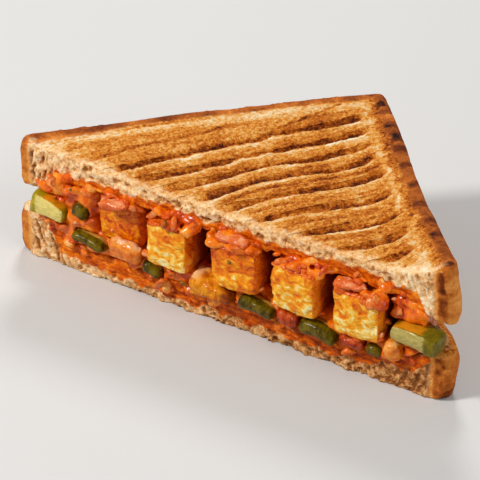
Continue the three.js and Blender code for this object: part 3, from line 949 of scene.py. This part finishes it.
def pepper_piece(index, material):
    node = f"pepper_{index}"
    mesh = refined(node, SMALL)
    points = points_of(mesh)
    normals = normals_of(mesh)
    wedge = index in (1, 8)
    move = 0.2 * rough(points, 3.0, 90 + index) + (0.0 if wedge else 0.55 * waves(points, 4.5, index))
    points = points + normals * move[:, None]
    low, high = points.min(0), points.max(0)
    place = (points - low) / (high - low)
    if wedge:
        skin = wedge_skin(place, normals, index)
        border = np.minimum(place, 1 - place)[:, [0, 2]].min(1)
        skin = np.maximum(skin, 0.3 * smooth(border, 0.2, 0.0))
        covered = smooth(place[:, 0], 0.25, 0.5) if index == 1 else smooth(place[:, 0], 0.8, 0.6)
        film = 0.8 * smooth(normals[:, 2], 0.4, 0.9) * smooth(place[:, 1], 0.0, 0.2) * covered
    else:
        lid = smooth(normals[:, 2], 0.3, 0.6)
        rim = lid * smooth(place[:, 1], 0.42, 0.58)
        skin = 0.9 + 0.2 * waves(points * (0.4, 1, 1), 2.4, 33) - 0.8 * rim
        film = 0.9 * lid * smooth(place[:, 1], 0.66, 0.8) + 0.4 * waves(points, 3.0, 34)
    mark(mesh, "skin", skin)
    mark(mesh, "film", film)
    set_points(mesh, points)
    return new_piece(node + "_piece", mesh, material, "green_pepper", node)


def soft_piece(node, material, slot, amount):
    mesh = refined(node, SMALL)
    points = points_of(mesh)
    move = amount * rough(points, 2.4, 7 + len(node)) + 0.3 * waves(points, 1.3, 18)
    normals = normals_of(mesh)
    points = points + normals * move[:, None]
    low, high = points.min(0), points.max(0)
    right = (points[:, 0] - low[0]) / (high[0] - low[0])
    top = smooth(normals[:, 2], 0.1, 0.9)
    # Only the yellow pepper's material reads skin and film: its top towards the left end is marked as
    # flesh so that it shows paler, a painted highlight, and its right end gets a dark film, painted
    # shade.
    mark(mesh, "skin", 1 - 0.7 * top * smooth(right, 0.5, 0.1))
    mark(mesh, "film", 0.3 * rough(points, 3.0, 17) + 0.9 * smooth(right, 0.45, 1.0))
    mark(mesh, "pale", top * smooth(high[0] - low[0], 4.5, 8.5) - 0.35)
    set_points(mesh, points)
    return new_piece(node + "_piece", mesh, material, slot, node)


# Bits that the photograph shows: x, z, how far in front of BITS_FROM, and length.
BITS_FROM = 0.6
ONION_BITS = (
    (-56.8, 29.7, 5.5, 3.4), (-53.9, 18.8, 6.4, 2.4), (-40.7, 19.9, 7.0, 1.5),
    (-31.9, 30.9, 6.6, 3.0), (-27.3, 30.9, 5.2, 2.6), (-23.2, 32.2, 6.2, 3.4),
    (-15.6, 31.4, 7.4, 3.0), (-26.3, 17.3, 6.8, 3.6), (-22.6, 14.4, 6.8, 1.6),
    (-18.1, 13.6, 6.6, 2.6), (0.4, 32.2, 6.6, 3.2), (15.4, 18.2, 5.6, 2.6),
    (17.1, 28.5, 5.2, 2.0), (22.2, 31.4, 6.6, 4.2), (29.7, 32.2, 6.2, 2.0),
    (21.0, 13.9, 7.0, 1.6), (28.0, 14.0, 7.0, 1.6), (35.7, 16.6, 5.0, 2.6),
    (39.6, 15.5, 7.4, 1.5), (42.6, 31.6, 6.6, 4.0), (50.2, 13.1, 7.2, 1.6),
    (55.6, 16.1, 6.2, 3.0), (64.1, 16.9, 6.2, 2.4), (60.5, 26.5, 4.6, 4.0),
    (-49.7, 31.0, 6.2, 4.6), (-59.2, 15.3, 6.2, 3.4), (57.5, 17.6, 6.6, 3.0),
)
TOMATO_BITS = (
    (-18.8, 32.4, 6.6, 3.6), (12.8, 33.0, 5.4, 3.4), (-47.9, 20.4, 5.4, 3.2),
    (44.2, 13.0, 7.0, 3.0), (48.5, 13.3, 7.0, 3.0), (-8.2, 31.0, 5.2, 2.6),
    (47.5, 32.4, 6.2, 3.2), (-35.4, 31.6, 5.6, 3.0), (34.5, 32.4, 5.4, 3.0),
)
GREEN_BITS = ((5.1, 26.4, 8.2, 1.8), (-12.6, 10.8, 6.6, 3.4), (61.3, 10.0, 4.8, 2.4))


def shown_bits(table, draw):
    """The bits of a table, each turned a little its own way."""
    for x, z, forward, length in table:
        size = length * np.array([1.4, 0.9, 0.85]) * draw.uniform(0.85, 1.15, 3)
        yield (x, BITS_FROM - forward, z), 0.88 * size, draw.uniform(-35, 35, 3)


def scattered_bits(sauce, count, length, draw):
    """Places drawn on the sauce's skin, at the cut and at the edge between the crusts."""
    points = points_of(sauce.data)
    normals = normals_of(sauce.data)
    seen = np.flatnonzero((points[:, 1] < -2.5) & (normals[:, 1] < 0.4) & (normals[:, 2] > -0.5))
    rims = np.flatnonzero((points[:, 1] > 2.0) & (np.abs(normals[:, 2]) < 0.6))
    chosen = np.concatenate([draw.choice(seen, count), draw.choice(rims, count // 2)])
    for index in chosen:
        size = length * draw.uniform(0.5, 1.4) * draw.uniform(0.7, 1.3, 3) * (1.5, 1.0, 0.5)
        yield points[index], size, draw.uniform(-70, 70, 3)


def bits(name, material, slot, ground, entries):
    """Many small bits of one food as one mesh, each in touch with the ground."""
    lumps = [
        lump(
            resting(ground, at, size), size, degrees,
            boxy=0.8, uneven=0.3, seed=number, curl=0.15 * size[0],
        )
        for number, (at, size, degrees) in enumerate(entries)
    ]
    mesh = mesh_from(name, *joined(lumps))
    return new_piece(name, mesh, material, slot)


def small_bits(sauce, cubes):
    """The bits of food on the sauce and the cubes, as one piece for each kind."""
    draw = np.random.default_rng(12)
    ground = surfaces([(points_of(piece.data), quads_of(piece.data)) for piece in (sauce, *cubes)])
    onion = moist_material(
        "onion_bits", (0.3, 222, 96, 18), (0.5, 238, 138, 58), (0.75, 248, 188, 132),
    )
    tomato = moist_material(
        "tomato_bits", (0.3, 150, 24, 4), (0.5, 206, 58, 12), (0.75, 238, 112, 50),
    )
    green = moist_material(
        "green_bits", (0.3, 70, 52, 6), (0.5, 104, 86, 14), (0.75, 140, 120, 34),
    )
    cheese = moist_material(
        "cheese_bits", (0.3, 236, 146, 40), (0.5, 248, 186, 84), (0.75, 253, 226, 160),
    )
    bits("onion_bits", onion, "onion", ground, [
        *shown_bits(ONION_BITS, draw), *scattered_bits(sauce, 18, 3.0, draw)])
    bits("tomato_bits", tomato, "tomato", ground, [
        *shown_bits(TOMATO_BITS, draw), *scattered_bits(sauce, 14, 3.0, draw)])
    bits("green_bits", green, "green_pepper", ground, [
        *shown_bits(GREEN_BITS, draw), *scattered_bits(sauce, 4, 2.0, draw)])
    bits("cheese_bits", cheese, "paneer", ground, [*scattered_bits(sauce, 8, 2.2, draw)])


# ---------------------------------------------------------------- stage


def direction(azimuth, elevation):
    """The way from what is looked at to what looks at it, for angles in radians."""
    return np.array([
        math.sin(azimuth) * math.cos(elevation),
        -math.cos(azimuth) * math.cos(elevation),
        math.sin(elevation),
    ])


def camera():
    """The photograph's viewpoint, from a fit of the bread's corners and edges to it."""
    azimuth, elevation = 0.5746, 0.5589
    distance, lens = 612.3, 150.0
    target = np.array([-1.79, 8.89, 22.72])
    back = direction(azimuth, elevation)
    data = bpy.data.cameras.new("camera")
    data.lens = lens
    data.sensor_width = 36.0
    data.clip_start = 0.01
    view = bpy.data.objects.new("camera", data)
    view.location = (target + SHIFT + back * distance) * METRES
    view.rotation_euler = (math.pi / 2 - elevation, 0.0, azimuth)
    bpy.context.scene.collection.objects.link(view)
    bpy.context.scene.camera = view


def floor():
    s = Shader("floor")
    s.finish(linear(208, 206, 203), 0.7, Specular_IOR_Level=0.2)
    bpy.ops.mesh.primitive_plane_add(size=6.0)
    plane = bpy.context.object
    plane.name = "floor"
    plane.data.materials.append(s.material)


def soft_light(name, azimuth, elevation, distance, size, power):
    """A round soft lamp: angles in degrees, distance and size in metres, power in watts."""
    data = bpy.data.lights.new(name, "AREA")
    data.shape = "DISK"
    data.size = size
    data.energy = power
    lamp = bpy.data.objects.new(name, data)
    azimuth, elevation = math.radians(azimuth), math.radians(elevation)
    lamp.location = distance * direction(azimuth, elevation)
    lamp.rotation_euler = (math.pi / 2 - elevation, 0.0, azimuth)
    bpy.context.scene.collection.objects.link(lamp)


def light():
    soft_light("key", -38, 46, 1.1, 0.22, 8.8)
    soft_light("back", -150, 40, 1.1, 0.3, 5.6)
    soft_light("fill", 80, 35, 1.2, 0.6, 4.2)
    world = bpy.data.worlds.new("studio")
    world.use_nodes = True
    background = world.node_tree.nodes["Background"]
    background.inputs["Color"].default_value = (1.0, 1.0, 1.0, 1.0)
    background.inputs["Strength"].default_value = 0.22
    bpy.context.scene.world = world
    bpy.context.scene.view_settings.view_transform = "Standard"


# ---------------------------------------------------------------- the whole


def build():
    bread = bread_material("bread")
    bread_slice("bread_top", "bread_top_slice", bread, upper=True)
    bread_slice("bread_bottom", "bread_bottom_slice", bread, upper=False)
    sauce = masala()
    cubes = [
        paneer_cube(index, cream, burnt)
        for index, (cream, burnt) in enumerate(CUBE_TONES, start=1)
    ]

    left_wedge = pepper_material(
        "pepper_left", skin=(176, 156, 18), flesh=(238, 216, 128), dark=(146, 122, 4),
        sauce=(214, 124, 12), border=(0.3, 1.0),
    )
    right_wedge = pepper_material(
        "pepper_right", skin=(128, 110, 14), flesh=(196, 176, 100), dark=(96, 82, 8),
        sauce=(210, 130, 16), border=(0.3, 1.0),
    )
    strip = pepper_material(
        "pepper_strip", skin=(116, 96, 2), flesh=(214, 150, 66), dark=(54, 40, 1),
        sauce=(196, 84, 4), border=(0.42, 0.62),
    )
    wedges = {1: left_wedge, 8: right_wedge}
    for index in range(1, 9):
        pepper_piece(index, wedges.get(index, strip))

    # On the yellow pepper the pale flesh colour makes the painted highlight on its top, and the dark
    # sauce colour the painted shade on its right end.
    yellow = pepper_material(
        "yellow_pepper", skin=(240, 156, 20), flesh=(253, 212, 156), dark=(196, 92, 1),
        sauce=(128, 44, 2), border=(0.3, 0.95),
    )
    soft_piece("yellow_pepper_1", yellow, "yellow_pepper", 0.3)
    onion = moist_material(
        "onion", (0.3, 196, 76, 22), (0.5, 224, 112, 52), (0.7, 240, 150, 98), (0.95, 248, 190, 150),
    )
    chunk = moist_material(
        "onion_chunk", (0.25, 214, 100, 8), (0.45, 236, 138, 32), (0.62, 246, 172, 88),
        (0.82, 252, 206, 164), glazed=0.3,
    )
    for index in range(1, 6):
        soft_piece(f"onion_{index}", chunk if index in (1, 2) else onion, "onion", 0.6)
    tomato = moist_material(
        "tomato", (0.3, 120, 20, 2), (0.55, 172, 50, 8), (0.85, 220, 104, 50), glazed=0.4,
    )
    for index in (1, 2):
        soft_piece(f"tomato_{index}", tomato, "tomato", 0.5)
    small_bits(sauce, cubes)


build()
camera()
floor()
light()
